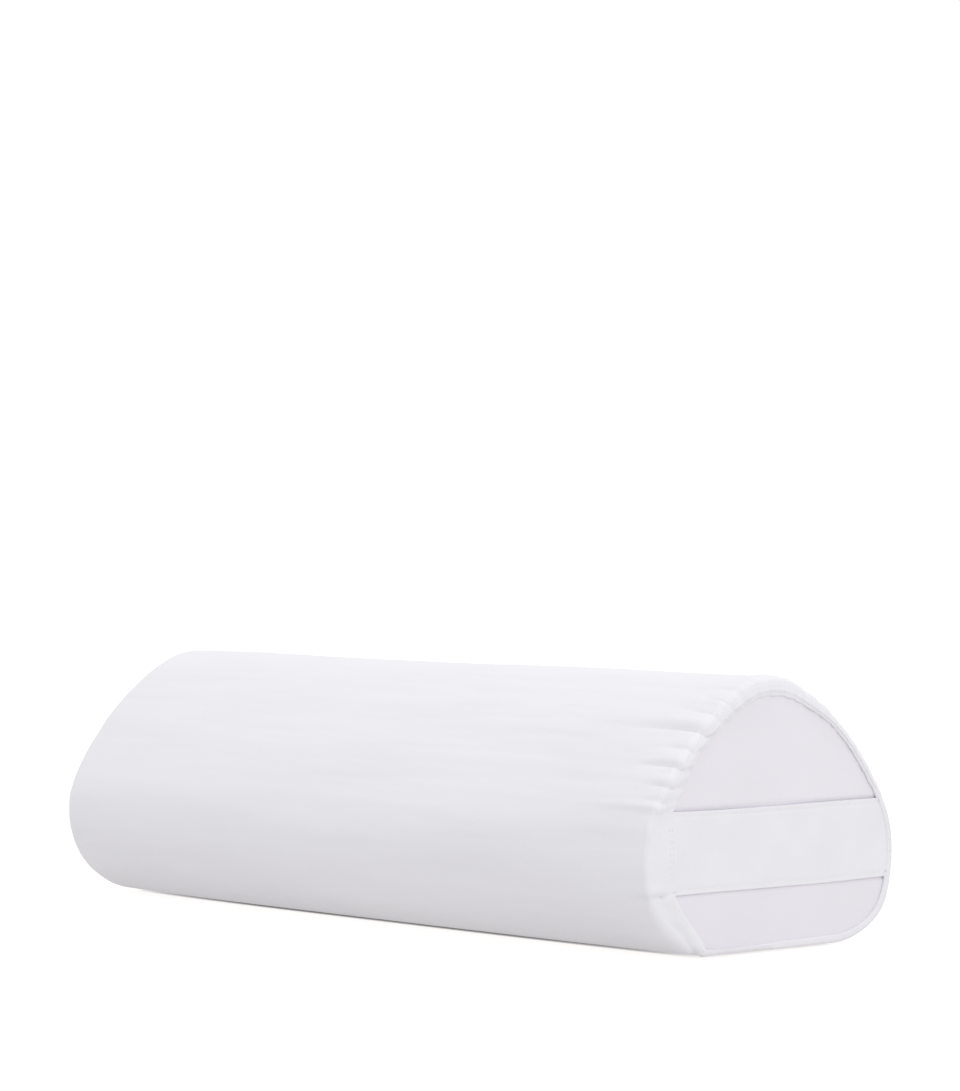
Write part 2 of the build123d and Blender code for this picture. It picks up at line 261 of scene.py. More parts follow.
def rim_radius(t):
    """The open rim is rounder over the arch, and at the left base corner, than elsewhere."""
    a = np.abs(t)
    corner = (STRAP_BOTTOM_T + LIP_T) / 2
    knots = [CROWN_END, STRAP_TOP_T, STRAP_BOTTOM_T, corner, LIP_T + 12 * MM]
    left = np.interp(a, knots, [7 * MM, 3 * MM, 3 * MM, 8 * MM, 3.5 * MM])
    right = np.interp(a, knots, [7 * MM, 3 * MM, 3 * MM, 3 * MM, 3.5 * MM])
    # the rim ends before the mouth does; below the left end of the strap there is always room
    no_limit = 1.0
    limit = np.where((t < 0) & (a > STRAP_TOP_T), no_limit, mouth_inset(t) - 2.2 * MM)
    return np.minimum(np.where(t < 0, left, right), limit)


# ---- The cover's grid ----------------------------------------------------------------------


def column_places():
    """Distances round the section, with fine spacing over the arch."""
    arch_count = int(2 * STRAP_TOP_T / ARCH_STEP) // 2 * 2
    arch = np.linspace(-STRAP_TOP_T, STRAP_TOP_T, arch_count + 1)
    half_count = int((HALF_ROUND - STRAP_TOP_T) / BASE_STEP)
    right = np.linspace(STRAP_TOP_T, HALF_ROUND, half_count + 1)[1:]
    left = -right[::-1][1:]
    return np.concatenate([left, arch, right])


def spaced(start, end, step):
    """Evenly spaced places with both ends among them, about a step apart."""
    return np.linspace(start, end, max(2, int(abs(end - start) / step) + 1))


T = column_places()
ROUND_POINT, ROUND_NORMAL = outline(T)
RIM_R = rim_radius(T)
MOUTH = mouth_edge(T)

SEAM_ANGLE = np.arccos(1 - PANEL_INSET / CLOSED_RIM_R)
CLOSED_ARC = np.linspace(SEAM_ANGLE, 0, 7)
LONG = np.concatenate(
    [spaced(-HALF_LENGTH + CLOSED_RIM_R, 0.1, 5 * MM)[1:], spaced(0.1, 0.25, 3.6 * MM)[1:]]
)
NEAR_START = float(LONG[-1])
NEAR_LONG = np.linspace(0, 1, 32)[1:]  # shares of the way from there to the rim
RIM_ARC = np.linspace(0, pi / 2, 11)[1:]
FACE = np.linspace(0, 1, 5)[1:]  # shares of the way from the rim to the mouth


def cover_base():
    """The taut cover with no folds: points, outward normals and distances from the mouth."""
    n = len(T)
    points, normals = [], []

    def add(x, inset, angle):
        """One row. The angle is the normal's, from straight outwards towards the end's axis."""
        x, inset = np.broadcast_to(x, n), np.broadcast_to(inset, n)
        yz = ROUND_POINT - inset[:, None] * ROUND_NORMAL
        points.append(np.column_stack([x, yz]))
        normals.append(
            np.column_stack([np.full(n, np.sin(angle)), np.cos(angle) * ROUND_NORMAL])
        )

    for angle in CLOSED_ARC:
        x = -HALF_LENGTH + CLOSED_RIM_R * (1 - np.sin(angle))
        add(x, CLOSED_RIM_R * (1 - np.cos(angle)), -angle)
    for x in LONG:
        add(x, 0.0, 0.0)
    for share in NEAR_LONG:
        add(NEAR_START + share * (FACE_X - RIM_R - NEAR_START), 0.0, 0.0)
    for angle in RIM_ARC:
        add(FACE_X - RIM_R * (1 - np.sin(angle)), RIM_R * (1 - np.cos(angle)), angle)
    start = points[-1][:, 1:]
    for share in FACE:
        yz = start + share * (MOUTH - start)
        points.append(np.column_stack([np.full(n, FACE_X), yz]))
        normals.append(np.tile([1.0, 0, 0], (n, 1)))
    points, normals = np.array(points), np.array(normals)
    steps = np.linalg.norm(np.diff(points, axis=0), axis=2)
    from_mouth = np.zeros(points.shape[:2])
    from_mouth[:-1] = np.cumsum(steps[::-1], axis=0)[::-1]
    return points, normals, from_mouth


def settle(p):
    """The bolster's own weight: it rests on the middle of its base, and its ends lift a little."""
    q = np.clip(np.abs(p[..., 0]) / HALF_LENGTH, 0, 1)
    low = 1 - smooth_step(p[..., 2], 0, 0.35 * HEIGHT)
    out = p.copy()
    out[..., 2] += SETTLE_LIFT * q**3 * low
    return out


# Where the cover stands out sideways from the plain section, in mm: side, x where that starts,
# x where it is full, height, half-height and reach
BULGES = (
    (1, 120, 315, 90, 50, -0.8),
    (1, 200, 315, 14, 24, 7.0),
    (-1, 230, 315, 22, 24, 2.0),
    (-1, -40, -300, 80, 70, 2.0),
    (1, -40, -300, 80, 70, 2.0),
)


def bulge(p):
    """The same points with the cover's bulges, each of which fades towards the middle."""
    out = p.copy()
    x, z = p[..., 0] / MM, p[..., 2] / MM
    for side, start, full, height, half, reach in BULGES:
        share = smooth_step(np.sign(full) * x, np.sign(full) * start, abs(full))
        push = reach * MM * share * bell(z - height, half)
        out[..., 1] += side * push * smooth_step(side * p[..., 1], 0, 60 * MM)
    return out


def crease_push(p):
    """The strap's top corner holds the left side out, and below it the side is drawn in."""
    fade = smooth_step(p[..., 0], 0.12, 0.3) * (p[..., 1] < 0)
    below = STRAP_HIGH - p[..., 2]
    drawn_in = smooth_step(below, 0, 24 * MM) * smooth_step(p[..., 2], 12 * MM, 45 * MM)
    out = p.copy()
    out[..., 1] += MM * fade * (0.8 * drawn_in - 1.8 * bell(below, 14 * MM))
    return out


# ---- Gathers -------------------------------------------------------------------------------


# Long folds, in mm: height where each meets the rim, how far from the mouth it dies out, how far
# it stands off the cloth, and its half-width
LEFT_FOLDS = (
    (158.5, 160, 2.0, 7.0),
    (146, 70, 0.6, 5.5),
    (134.5, 100, 1.3, 5.0),
    (121.5, 60, 0.8, 5.0),
    (103.5, 110, 1.4, 3.5),
    (172, 90, 0.9, 7.0),
    (47, 60, 1.0, 3.5),
)
RIGHT_FOLDS = (
    (164, 45, 2.6, 7.0),
    (133, 70, 0.5, 6.0),
)
FOLD_STEEPNESS = 2.2  # of a fold's lower side
TUCK_START = 20 * MM  # from the mouth: tucks are at their fullest up to here
RIDGE_REACH = 24 * MM
HEM_W = 17 * MM  # the gathers grow over this, from the mouth


def gather_height(t, from_mouth):
    """How far the gathered cloth stands off the taut surface."""
    back = np.maximum(from_mouth - TUCK_START, 0)
    phase = np.interp(t, TUCKS, np.arange(len(TUCKS)))
    index = np.arange(len(TUCKS))
    ridge = np.interp(phase + 0.5, index, RIDGES) * np.abs(np.sin(pi * phase))
    out = ridge * np.exp(-((back / RIDGE_REACH) ** 1.3))
    for place, depth, length in zip(TUCKS, TUCK_DEPTHS, TUCK_LENGTHS):
        # each tuck opens out and dies away towards its far end
        width = (1.1 * MM + 0.045 * back) * np.where(t > place, 1.8, 1.0)
        tuck = np.exp(-((np.abs(t - place) / width) ** 1.3))
        out -= depth * tuck * (1 - smooth_step(back, 0.1 * length, length))
    out *= 0.4 + 0.6 * smooth_step(from_mouth, 0, HEM_W)
    small = lattice_noise(t / (3.4 * MM) + 300, from_mouth / (22 * MM) + 9, 31)
    out += 0.35 * MM * small * np.exp(-((back / (14 * MM)) ** 1.5))
    out *= smooth_step(STRAP_TOP_T - np.abs(t), 0, 6 * MM)
    for side, folds in ((-1, LEFT_FOLDS), (1, RIGHT_FOLDS)):
        for z, reach, high, width in folds:
            across = (side * t - round_at_height(z * MM)) / (width * MM)
            across = np.where(across > 0, across * FOLD_STEEPNESS, across)
            fade = 1 - smooth_step(from_mouth, 0.2 * reach * MM, reach * MM)
            out += high * MM * bell(across, 1) * fade * smooth_step(from_mouth, 2 * MM, 18 * MM)
    return out


def hem_relief(t, from_mouth):
    """The left side hem's own shape, and the lower hem's at the left base corner."""
    # across the base corner: a puffy band, with a groove where it is sewn down
    chord = smooth_step(-t, STRAP_BOTTOM_T - 2 * MM, STRAP_BOTTOM_T + 4 * MM)
    chord *= 1 - smooth_step(-t, LIP_T, LIP_T + 10 * MM)
    band = np.clip(from_mouth / (9.5 * MM), 0, 1)
    out = chord * (1.3 * MM * np.sin(pi * band) - 0.9 * MM * bell(from_mouth - 11 * MM, 2 * MM))
    # beside the strap: slack cloth drawn in by two rows of stitches, and a raised inner edge
    left = smooth_step(-t, STRAP_TOP_T, STRAP_TOP_T + 5 * MM)
    beside = left * (1 - chord) * (1 - smooth_step(-t, STRAP_BOTTOM_T, LIP_T))
    slack = lattice_noise(from_mouth / (3.8 * MM) + 50, t / (24 * MM) + 50, 71)
    lines = sum(bell(from_mouth - row * MM, 0.9 * MM) for row in LEFT_SIDE_ROWS)
    near = 1 - smooth_step(from_mouth, 18 * MM, 28 * MM)
    out += beside * (0.45 * MM * slack - 0.3 * MM * lines) * near
    out += beside * 0.4 * MM * bell(from_mouth - 23 * MM, 3 * MM)
    # a tuck that starts under the strap
    tuck = bell(t + STRAP_BOTTOM_T + 2 * MM, 2.2 * MM) * smooth_step(from_mouth, 0, 10 * MM)
    return out - 1.0 * MM * tuck * (1 - smooth_step(from_mouth, 12 * MM, 60 * MM))


def lengthwise_streaks(t, x):
    """Soft tension wrinkles, long along the bolster and narrow across it."""
    wave = 6 * MM * lattice_noise(t / 0.09 + 40, x / 0.16 + 40, 5)
    out = 0.32 * lattice_noise((t + wave) / 0.017 + 60, x / 0.17 + 20, 11)
    out += 0.2 * lattice_noise((t + wave) / 0.0085 + 90, x / 0.10 + 70, 12)
    out += 0.12 * lattice_noise((t + wave) / 0.0046 + 130, x / 0.05 + 110, 13)
    return out * MM * (0.8 + 0.5 * smooth_step(x, -0.1, 0.25))


def unevenness(t, x):
    """Broad, faint dents and swells, as any stuffing has."""
    return 0.8 * MM * lattice_noise(t / 0.07 + 30, x / 0.13 + 30, 21)


# ---- Mesh helpers --------------------------------------------------------------------------


def facing_out(vertices, faces):
    """The faces of a closed mesh, turned if they enclose a negative volume."""
    volume = 0.0
    v = np.asarray(vertices, float)
    for size in {len(f) for f in faces}:
        f = np.array([f for f in faces if len(f) == size])
        for k in range(1, size - 1):
            cross = np.cross(v[f[:, k]], v[f[:, k + 1]])
            volume += float((v[f[:, 0]] * cross).sum())
    return faces if volume > 0 else [f[::-1] for f in faces]


def new_object(name, vertices, faces, uv=None, closed=False, fixed_normals=None):
    """A smooth mesh object. Fixed normals, as (indices, normals), hide the edge of a seam."""
    mesh = bpy.data.meshes.new(name)
    faces = faces.tolist() if isinstance(faces, np.ndarray) else faces
    if closed:
        faces = facing_out(vertices, faces)
    mesh.from_pydata(np.asarray(vertices).tolist(), [], faces)
    if uv is not None:
        layer = mesh.uv_layers.new(name="cloth")
        loops = np.zeros(len(mesh.loops), int)
        mesh.loops.foreach_get("vertex_index", loops)
        layer.data.foreach_set("uv", np.asarray(uv, float)[loops].ravel())
    mesh.shade_smooth()
    mesh.validate()
    if fixed_normals is not None:
        normals = np.zeros(len(mesh.vertices) * 3)
        mesh.vertices.foreach_get("normal", normals)
        normals = normals.reshape(-1, 3)
        normals[fixed_normals[0]] = fixed_normals[1]
        mesh.normals_split_custom_set_from_vertices(normals.tolist())
    obj = bpy.data.objects.new(name, mesh)
    bpy.context.scene.collection.objects.link(obj)
    return obj


def grid_faces(rows, columns, closed=False):
    """Quads over a grid of points, row by row. Closed joins the last column to the first."""
    count = columns if closed else columns - 1
    i, j = np.meshgrid(np.arange(rows - 1), np.arange(count), indexing="ij")
    k = (j + 1) % columns
    row, next_row = i * columns, (i + 1) * columns
    return np.stack([row + j, row + k, next_row + k, next_row + j], -1).reshape(-1, 4)


def grid_normals(points):
    """Outward normals of a grid of points whose columns run all the way round."""
    along_t = np.roll(points, -1, axis=1) - np.roll(points, 1, axis=1)
    along_x = np.gradient(points, axis=0)
    n = np.cross(along_x, along_t)
    return n / np.maximum(np.linalg.norm(n, axis=2, keepdims=True), 1e-12)


# ---- Cloth simulation of the gathered end --------------------------------------------------


def collider(points, normals):
    """What the cloth lies on: a shape just under its points, shut at the mouth."""
    inner = points - COLLIDER_DEPTH * normals
    rows, columns = inner.shape[:2]
    faces = grid_faces(rows, columns, closed=True).tolist()
    vertices = inner.reshape(-1, 3).tolist()
    centre = len(vertices)
    vertices.append([inner[-1, 0, 0], 0.0, 0.5 * HEIGHT])
    last = (rows - 1) * columns
    faces += [[last + j, last + (j + 1) % columns, centre] for j in range(columns)]
    obj = new_object("collider", vertices, faces, closed=True)
    obj.modifiers.new("collide", "COLLISION")
    obj.collision.thickness_outer = COLLIDER_SKIN
    obj.collision.cloth_friction = 6
    return obj


def simulate_gathers(start, pattern, first_row, columns, normals):
    """Runs Blender's cloth on the arch's part of the grid, and returns its settled points.

    Pattern is the shape that the cloth was cut for, and it starts squeezed into start's shape.
    """
    body = collider(start[first_row:], normals[first_row:])
    patch = start[first_row:, columns]
    rest = pattern[first_row:, columns]
    rows, n = patch.shape[:2]
    cloth = new_object("gather_cloth", patch.reshape(-1, 3), grid_faces(rows, n))
    cloth.shape_key_add(name="Basis")
    key = cloth.shape_key_add(name="pattern")
    key.data.foreach_set("co", rest.ravel())
    pins = cloth.vertex_groups.new(name="pins")
    hold = np.zeros((rows, n), bool)
    hold[:3] = hold[-2:] = True
    hold[:, :2] = hold[:, -2:] = True
    pins.add(np.flatnonzero(hold).tolist(), 1.0, "REPLACE")
    modifier = cloth.modifiers.new("cloth", "CLOTH")
    s = modifier.settings
    s.quality = 5
    s.mass = 0.15
    s.tension_stiffness = 25
    s.compression_stiffness = 25
    s.shear_stiffness = 8
    s.bending_stiffness = 0.05
    s.tension_damping = 10
    s.compression_damping = 10
    s.shear_damping = 10
    s.bending_damping = 0.5
    s.air_damping = 3
    s.vertex_group_mass = "pins"
    s.rest_shape_key = key
    s.effector_weights.gravity = 0
    modifier.collision_settings.distance_min = SIM_GAP
    modifier.collision_settings.collision_quality = 2
    modifier.collision_settings.use_self_collision = False
    modifier.point_cache.frame_start = 1
    modifier.point_cache.frame_end = SIM_FRAMES
    for step in range(1, SIM_FRAMES + 1):
        bpy.context.scene.frame_set(step)
    graph = bpy.context.evaluated_depsgraph_get()
    settled = cloth.evaluated_get(graph).to_mesh()
    out = np.zeros(rows * n * 3)
    settled.vertices.foreach_get("co", out)
    bpy.context.scene.frame_set(1)
    for obj in (cloth, body):
        bpy.data.objects.remove(obj)
    return out.reshape(rows, n, 3)


def build_cover_grid():
    """Points of the cover's outer face, with its gathers, wrinkles and creases."""
    base, normals, from_mouth = cover_base()
    base = settle(bulge(crease_push(base)))
    t = np.broadcast_to(T, from_mouth.shape)
    gathers = gather_height(t, from_mouth)[..., None]
    start = base + normals * gathers
    first_row = len(CLOSED_ARC) + int(np.searchsorted(LONG, SIM_START_X))
    arch = np.flatnonzero(np.abs(T) < STRAP_TOP_T - 0.5 * ARCH_STEP)
    pattern = base + normals * gathers * SIM_FULLNESS
    settled = simulate_gathers(start, pattern, first_row, arch, normals)
    moved = settled - start[first_row:, arch]
    far = np.linalg.norm(moved, axis=2, keepdims=True)
    moved *= np.minimum(1, MAX_MOVE / np.maximum(far, 1e-9))
    moved[:, 1:-1] = (moved[:, :-2] + 2 * moved[:, 1:-1] + moved[:, 2:]) / 4
    start[first_row:, arch] += moved
    start += hem_relief(t, from_mouth)[..., None] * normals
    x = start[..., 0]
    calm = smooth_step(from_mouth, 6 * MM, 40 * MM)
    base_side = smooth_step(start[..., 2], 0, 12 * MM)
    fine = lengthwise_streaks(t, x) * calm * (0.35 + 0.65 * base_side)
    fine += unevenness(t, x) * calm * base_side
    return start + grid_normals(start) * fine[..., None], normals, from_mouth


# ---- Pieces cut from the grid --------------------------------------------------------------

# Row where the wrap is sewn to the hems, part way round the rim
HEM_ROW = len(CLOSED_ARC) + len(LONG) + len(NEAR_LONG) + len(RIM_ARC) - 6


def cloth_uv(from_mouth, t):
    """The cloth's own coordinates in metres, lengthwise and round."""
    return np.stack([from_mouth, np.broadcast_to(t, from_mouth.shape)], -1).reshape(-1, 2)


def cover_wrap(grid, normals, from_mouth):
    """The long tube of cloth, from the closed end's seam to the hems."""
    rows = slice(0, HEM_ROW + 1)
    outer, n = grid[rows], normals[rows]
    count, columns = outer.shape[:2]
    top = grid_faces(count, columns, closed=True)
    faces = top.tolist() + (top[:, ::-1] + count * columns).tolist()
    for row in (0, count - 1):
        for j in range(columns):
            quad = [row * columns + j, row * columns + (j + 1) % columns]
            quad += [quad[1] + count * columns, quad[0] + count * columns]
            faces.append(quad if row == 0 else quad[::-1])
    points = np.concatenate([outer.reshape(-1, 3), (outer - COVER_T * n).reshape(-1, 3)])
    uv = cloth_uv(from_mouth[rows], T)
    last = (count - 1) * columns + np.arange(columns)
    return new_object(
        "cover_wrap_cloth", points, faces, np.concatenate([uv, uv]), True, (last, n[-1])
    )


def folded_edge(outer, normal, thickness):
    """Rows that carry a hem's outer face round its folded edge."""
    # the fold's direction, smoothed over nine columns so that it doesn't fan at each pucker
    heading = outer[-1] - outer[-4]
    spread = np.ones(9) / 9
    padded = np.pad(heading, ((4, 4), (0, 0)), mode="edge")
    heading = np.stack([np.convolve(padded[:, k], spread, mode="valid") for k in range(3)], -1)
    heading -= normal * (heading * normal).sum(1, keepdims=True)
    heading /= np.maximum(np.linalg.norm(heading, axis=1, keepdims=True), 1e-12)
    radius = thickness / 2
    rows = []
    for angle in np.linspace(0, pi, 8)[1:-1]:
        sink = normal * radius * (1 - np.cos(angle))
        rows.append(outer[-1] - sink + heading * radius * np.sin(angle))
    return np.array(rows)


def hem_piece(name, columns):
    """One hem, from the wrap's edge to the mouth and back underneath, as one closed mesh."""
    outer = GRID[HEM_ROW:, columns]
    taut = TAUT_NORMALS[HEM_ROW:, columns]
    fold = folded_edge(outer, taut[-1], HEM_T)
    under = (outer - taut * HEM_T)[::-1]
    loop = np.concatenate([outer, fold, under])
    rows, count = loop.shape[:2]
    # each column is a closed loop of its own, and the two end columns are capped
    around = grid_faces(count, rows, closed=True)
    points = loop.transpose(1, 0, 2).reshape(-1, 3)
    faces = around.tolist()
    for j in (0, count - 1):
        for i in range(rows // 2 - 1):
            quad = [i, i + 1, rows - 2 - i, rows - 1 - i]
            quad = [j * rows + k for k in quad]
            faces.append(quad if j else quad[::-1])
    along = np.zeros(loop.shape[:2])
    along[1:] = np.cumsum(np.linalg.norm(np.diff(loop, axis=0), axis=2), axis=0)
    along = (FROM_MOUTH[HEM_ROW, columns] - along).T
    uv = np.stack([along, np.broadcast_to(T[columns][:, None], along.shape)], -1).reshape(-1, 2)
    seen = (np.arange(count)[:, None] * rows + np.arange(len(outer) - 1)).ravel()
    normals = NORMALS[HEM_ROW:-1, columns].transpose(1, 0, 2).reshape(-1, 3)
    return new_object(name, points, faces, uv, True, (seen, normals))


def disc(name, rings, thickness):
    """A panel from rings of points, edge first, with its middle closed and some thickness."""
    count, columns = rings.shape[:2]
    out = np.sign(rings[-1, 0, 0])
    inner = rings - [out * thickness, 0, 0]
    top = grid_faces(count, columns, closed=True)
    total = count * columns + 1
    faces = top.tolist() + (top[:, ::-1] + total).tolist()
    points = []
    for layer, start in ((rings, 0), (inner, total)):
        points += [layer.reshape(-1, 3), layer[-1].mean(0)[None]]
        ring = start + (count - 1) * columns
        for j in range(columns):
            fan = [ring + j, ring + (j + 1) % columns, start + count * columns]
            faces.append(fan if start == 0 else fan[::-1])
    for j in range(columns):
        k = (j + 1) % columns
        faces.append([k, j, total + j, total + k])
    points = np.concatenate(points)
    return new_object(name, points, faces, points[:, 1:], True)


def panel_rings(edge, face_x, shape, sewn):
    """Rings from an edge to the middle of a panel. Shape gives the face's x from y and z, and a
    sewn panel meets the edge's own x."""
    centre = np.array([face_x, 0.0, 0.45 * HEIGHT])
    rings = []
    for share in np.concatenate([[1.0, 0.99, 0.98], np.linspace(0.96, 0.02, 40)]):
        ring = centre + (edge - centre) * share
        ease = smooth_step(1 - share, 0, 0.03) if sewn else 1
        ring[:, 0] = edge[:, 0] * (1 - ease) + shape(ring[:, 1], ring[:, 2], share) * ease
        rings.append(ring)
    return np.array(rings)


def closed_face(y, z, share):
    """The closed end's cloth: a little crowned, with faint slack in it."""
    slack = 0.7 * MM * lattice_noise(y / 0.05 + 20, z / 0.05 + 20, 41)
    return -HALF_LENGTH - 1.5 * MM * (1 - share**2) + slack * (1 - share**4)


def casing_rim():
    """Edge of the casing's open end, a little way under the hems all round."""
    point, normal = outline(T)
    point = point - np.maximum(2.5 * MM, 0.75 * RIM_R)[:, None] * normal
    return settle(bulge(np.column_stack([np.full(len(T), CASING_X), point])))


def casing_face(y, z, share):
    """The casing's open end: it fills the cover's mouth, and the strap presses it in a little."""
    slack = 0.25 * MM * lattice_noise(y / 0.045 + 20, z / 0.045 + 20, 43)
    from_strap = np.abs(z - (STRAP_LOW + STRAP_HIGH) / 2) - (STRAP_HIGH - STRAP_LOW) / 2
    free = 1.4 * smooth_step(from_strap, -1 * MM, 3 * MM)
    return CASING_X + MM * (0.75 + free + 0.3 * (1 - share**2)) + slack


def elastic_band(columns):
    """The elastic, which lies in the hem's channel from one end of the arch to the other."""
    layers = []
    for depth, distances in zip(ELASTIC_DEPTHS, (ELASTIC_EDGES, ELASTIC_EDGES[::-1])):
        for distance in distances:
            path, normal = row_along(distance * MM, columns)
            layers.append(path - depth * MM * normal)
    points = np.array(layers).transpose(1, 0, 2)
    faces = grid_faces(len(columns), 4, closed=True).tolist()
    faces += [[0, 1, 2, 3], [4 * (len(columns) - 1) + k for k in (3, 2, 1, 0)]]
    return new_object("hem_elastic_band", points.reshape(-1, 3), faces, closed=True)


# ---- Strap and stitches --------------------------------------------------------------------


def outline_heights():
    """Heights up the right side, and how far out the section is at each."""
    point = outline(np.linspace(CORNER_END, CROWN_END, 400))[0]
    return point[:, 1], point[:, 0]


def strap_ply(name, node, is_front):
    """One ply of the strap, with rounded long edges, and its front as a grid of points.

    The front ply has a stitched-down line inside each long edge.
    """
    low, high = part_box(node)
    thick = high.x - low.x
    y = np.linspace(-LEFT_HEM_Y - 12 * MM, HALF_WIDTH, 130)
    turn = np.linspace(0, pi, 7)[1:-1]
    z_up = np.linspace(low.z + thick / 2, high.z - thick / 2, 46)
    half = thick / 2
    profile = [(high.x, z) for z in z_up]
    profile += [(high.x - half * (1 - np.cos(a)), z_up[-1] + half * np.sin(a)) for a in turn]
    profile += [(low.x, z) for z in z_up[::-1]]
    profile += [(low.x + half * (1 - np.cos(a)), z_up[0] - half * np.sin(a)) for a in turn]
    profile = np.array(profile)
    points = np.zeros((len(y), len(profile), 3))
    points[..., 0] = profile[:, 0]
    # its right end is cut to the bolster's own curve, and goes into the hem there
    z_side, z_out = outline_heights()
    limit = np.interp(profile[:, 1], z_side, z_out) - 5 * MM
    share = (y - y[0]) / (y[-1] - y[0])
    points[..., 1] = y[0] + share[:, None] * (limit - y[0])
    points[..., 2] = profile[:, 1]
    across = points[..., 1] / HALF_WIDTH
    height = (profile[:, 1] - low.z) / (high.z - low.z)
    y = points[..., 1]
    slack = 0.35 * lattice_noise(y / 0.06 + 30, profile[None, :, 1] / 0.05 + 30, 51)
    slack += 0.15 * lattice_noise(y / 0.02 + 30, profile[None, :, 1] / 0.03 + 30, 52)
    points[..., 0] += MM * (0.2 + slack) * (1 - across**2)
    edge = np.minimum(height, 1 - height) * (high.z - low.z)
    if is_front:
        front = profile[:, 0] > (low.x + high.x) / 2
        points[..., 0] -= np.where(front, 0.3 * MM * bell(edge - 3 * MM, 1.0 * MM), 0)
    wave = 0.5 * MM * lattice_noise(y / 0.05 + 70, y * 0 + 3, 53)
    points[..., 2] += wave * (height - 0.5)
    points[..., 2] -= 0.8 * MM * (1 - across**2)
    faces = grid_faces(len(y), len(profile), closed=True).tolist()
    count = len(profile)
    faces.append(list(range(count))[::-1])
    faces.append([(len(y) - 1) * count + k for k in range(count)])
    flat = points.reshape(-1, 3)
    return new_object(name, flat, faces, flat[:, 1:], closed=True), points[:, : len(z_up)]


def stitches(name, rows):
    """Raised stitches of thread. Each row is a path on the cloth, with the normals along it."""
    points, faces = [], []
    for path, normal in rows:
        along = np.concatenate([[0], np.cumsum(np.linalg.norm(np.diff(path, axis=0), axis=1))])
        count = int(along[-1] / STITCH_PITCH)
        for i in range(count):
            mid = (i + 0.5) / count * along[-1]
            share = np.linspace(-1, 1, 7)
            at = mid + share * STITCH_LEN / 2
            centre = np.stack([np.interp(at, along, path[:, k]) for k in range(3)], -1)
            up = np.array([np.interp(mid, along, normal[:, k]) for k in range(3)])
            up /= np.linalg.norm(up)
            ahead = centre[-1] - centre[0]
            ahead /= np.linalg.norm(ahead)
            side = np.cross(up, ahead)
            radius = THREAD_R * np.sqrt(np.maximum(1 - share**4, 0.02))
            centre = centre + up * (0.06 * MM - 0.2 * MM * share[:, None] ** 4)
            start = len(points) * 42
            turn = np.linspace(0, 2 * pi, 7)[:-1]
            ring = np.cos(turn)[:, None] * side + np.sin(turn)[:, None] * up
            points.append((centre[:, None] + radius[:, None, None] * ring).reshape(-1, 3))
            faces += (grid_faces(7, 6, closed=True) + start).tolist()
            faces.append([start + k for k in range(6)][::-1])
            faces.append([start + 36 + k for k in range(6)])
    return new_object(name, np.concatenate(points), faces, closed=True)


def row_along(distance, columns):
    """Path over the hems at that distance from the mouth's edge, and the cloth's normals."""
    path, normal = [], []
    for j in columns:
        d = FROM_MOUTH[:, j][::-1]
        path.append([np.interp(distance, d, GRID[::-1, j, k]) for k in range(3)])
        normal.append([np.interp(distance, d, NORMALS[::-1, j, k]) for k in range(3)])
    return np.array(path), np.array(normal)


def strap_rows(front):
    """A row of stitches inside each long edge of the strap, where it shows between the hems."""
    across = front[:, 0, 1]
    shows = (across > -LEFT_HEM_Y + 3 * MM) & (across < across.max() - 7 * MM)
    paths = [front[shows, k] for k in (2, -3)]
    return [(path, np.broadcast_to([1.0, 0, 0], path.shape)) for path in paths]


def side_rows(left_columns, right_columns):
    """The rows that hold the strap's ends, clear of the hems' corners."""
    sides = (left_columns, LEFT_SIDE_ROWS), (right_columns, RIGHT_SIDE_ROWS)
    return [row_along(at * MM, columns[3:-4]) for columns, rows in sides for at in rows]


def lower_rows():
    """A row along the lower hem across each base corner."""
    top, bottom = STRAP_BOTTOM_T + 4 * MM, LIP_T
    corners = (T > top) & (T < bottom), (T > -bottom) & (T < -top)
    return [row_along(LOWER_ROW * MM, np.flatnonzero(corner)) for corner in corners]


# ---- Materials -----------------------------------------------------------------------------

COTTON_LOW = (0.75, 0.745, 0.785)
COTTON_HIGH = (0.775, 0.77, 0.807)
CASING_COLOR = (0.755, 0.735, 0.79)
WAVE_PITCH = 0.314  # metres between the bands of a wave texture of scale 1


